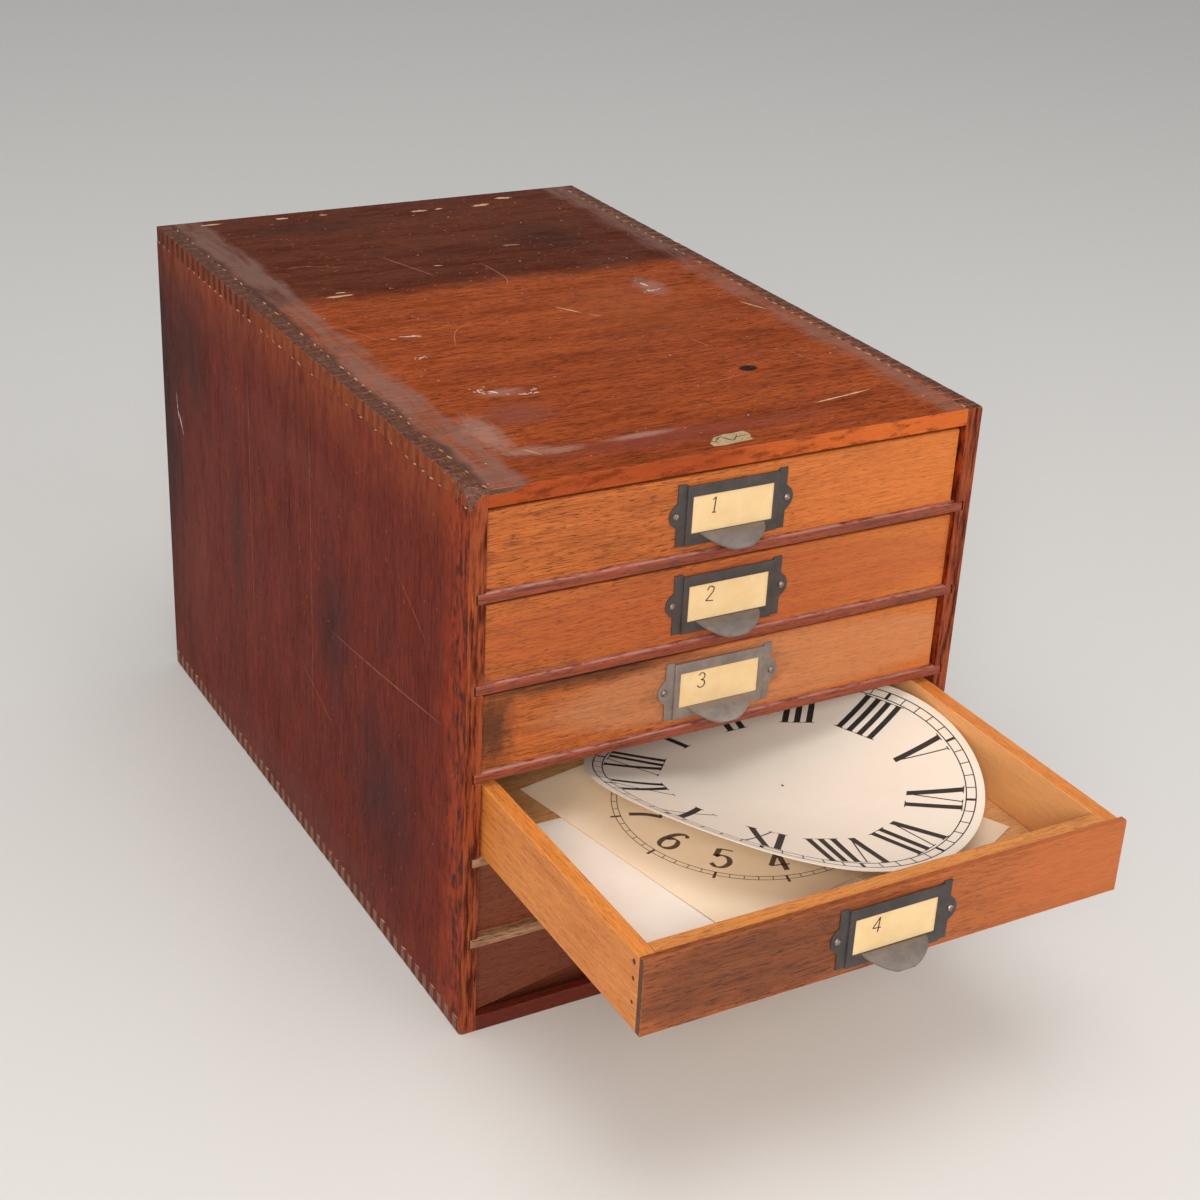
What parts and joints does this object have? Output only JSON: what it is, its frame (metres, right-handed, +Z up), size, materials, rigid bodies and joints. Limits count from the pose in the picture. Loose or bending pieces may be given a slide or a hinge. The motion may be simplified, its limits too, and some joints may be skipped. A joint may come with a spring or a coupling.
{
  "type": "watchmaker parts cabinet",
  "caption": "Finger-jointed wooden tabletop cabinet of shallow drawers on thin shelves, each with a pressed steel label frame and scoop pull, one drawn open with printed dials in it.",
  "frame": {"origin": "middle of the case's underside", "axes": "+Z up, +X to the right as seen from the drawer fronts, +Y from the drawer fronts to the back"},
  "size_m": [0.305, 0.6481, 0.3183],
  "materials": {
    "case_wood": "worn varnish",
    "shelf_wood": "bare, worn",
    "back_panel_wood": "bare",
    "drawer_facing": "worn varnish",
    "drawer_wood": "bare",
    "drawer_side_wood": "bare",
    "drawer_bottom_wood": "bare",
    "japanned_steel": "black japan, worn",
    "label_card": "matte",
    "flat_paper": "matte",
    "dial_card": "matte"
  },
  "bodies": {
    "case": {"case_top": "case_wood", "case_bottom": "case_wood", "case_side_left": "case_wood", "case_side_right": "case_wood", "case_back": "back_panel_wood", "shelf_1": "shelf_wood", "shelf_2": "shelf_wood", "shelf_3": "shelf_wood", "shelf_4": "shelf_wood", "shelf_5": "shelf_wood"},
    "drawer_1": {"drawer_1_facing": "drawer_facing", "drawer_1_front": "drawer_wood", "drawer_1_side_left": "drawer_side_wood", "drawer_1_side_right": "drawer_side_wood", "drawer_1_back": "drawer_wood", "drawer_1_bottom": "drawer_bottom_wood", "drawer_1_label_holder": "japanned_steel", "drawer_1_label_card": "label_card"},
    "drawer_2": {"drawer_2_facing": "drawer_facing", "drawer_2_front": "drawer_wood", "drawer_2_side_left": "drawer_side_wood", "drawer_2_side_right": "drawer_side_wood", "drawer_2_back": "drawer_wood", "drawer_2_bottom": "drawer_bottom_wood", "drawer_2_label_holder": "japanned_steel", "drawer_2_label_card": "label_card"},
    "drawer_3": {"drawer_3_facing": "drawer_facing", "drawer_3_front": "drawer_wood", "drawer_3_side_left": "drawer_side_wood", "drawer_3_side_right": "drawer_side_wood", "drawer_3_back": "drawer_wood", "drawer_3_bottom": "drawer_bottom_wood", "drawer_3_label_holder": "japanned_steel", "drawer_3_label_card": "label_card"},
    "drawer_4": {"drawer_4_facing": "drawer_facing", "drawer_4_front": "drawer_wood", "drawer_4_side_left": "drawer_side_wood", "drawer_4_side_right": "drawer_side_wood", "drawer_4_back": "drawer_wood", "drawer_4_bottom": "drawer_bottom_wood", "drawer_4_label_holder": "japanned_steel", "drawer_4_label_card": "label_card", "flat_papers": "flat_paper", "round_dial": "dial_card"},
    "drawer_5": {"drawer_5_facing": "drawer_facing", "drawer_5_front": "drawer_wood", "drawer_5_side_left": "drawer_side_wood", "drawer_5_side_right": "drawer_side_wood", "drawer_5_back": "drawer_wood", "drawer_5_bottom": "drawer_bottom_wood", "drawer_5_label_holder": "japanned_steel", "drawer_5_label_card": "label_card"},
    "drawer_6": {"drawer_6_facing": "drawer_facing", "drawer_6_front": "drawer_wood", "drawer_6_side_left": "drawer_side_wood", "drawer_6_side_right": "drawer_side_wood", "drawer_6_back": "drawer_wood", "drawer_6_bottom": "drawer_bottom_wood", "drawer_6_label_holder": "japanned_steel", "drawer_6_label_card": "label_card"}
  },
  "joints": [
    {"name": "drawer_1_slide", "type": "slide", "parent": "case", "child": "drawer_1", "axis": [0, -1, 0], "range_m": [-0.0024, 0.3676]},
    {"name": "drawer_2_slide", "type": "slide", "parent": "case", "child": "drawer_2", "axis": [0, -1, 0], "range_m": [-0.0024, 0.3676]},
    {"name": "drawer_3_slide", "type": "slide", "parent": "case", "child": "drawer_3", "axis": [0, -1, 0], "range_m": [-0.0024, 0.3676]},
    {"name": "drawer_4_slide", "type": "slide", "parent": "case", "child": "drawer_4", "axis": [0, -1, 0], "range_m": [-0.1694, 0.2006]},
    {"name": "drawer_5_slide", "type": "slide", "parent": "case", "child": "drawer_5", "axis": [0, -1, 0], "range_m": [0, 0.37]},
    {"name": "drawer_6_slide", "type": "slide", "parent": "case", "child": "drawer_6", "axis": [0, -1, 0], "range_m": [0, 0.37]}
  ]
}
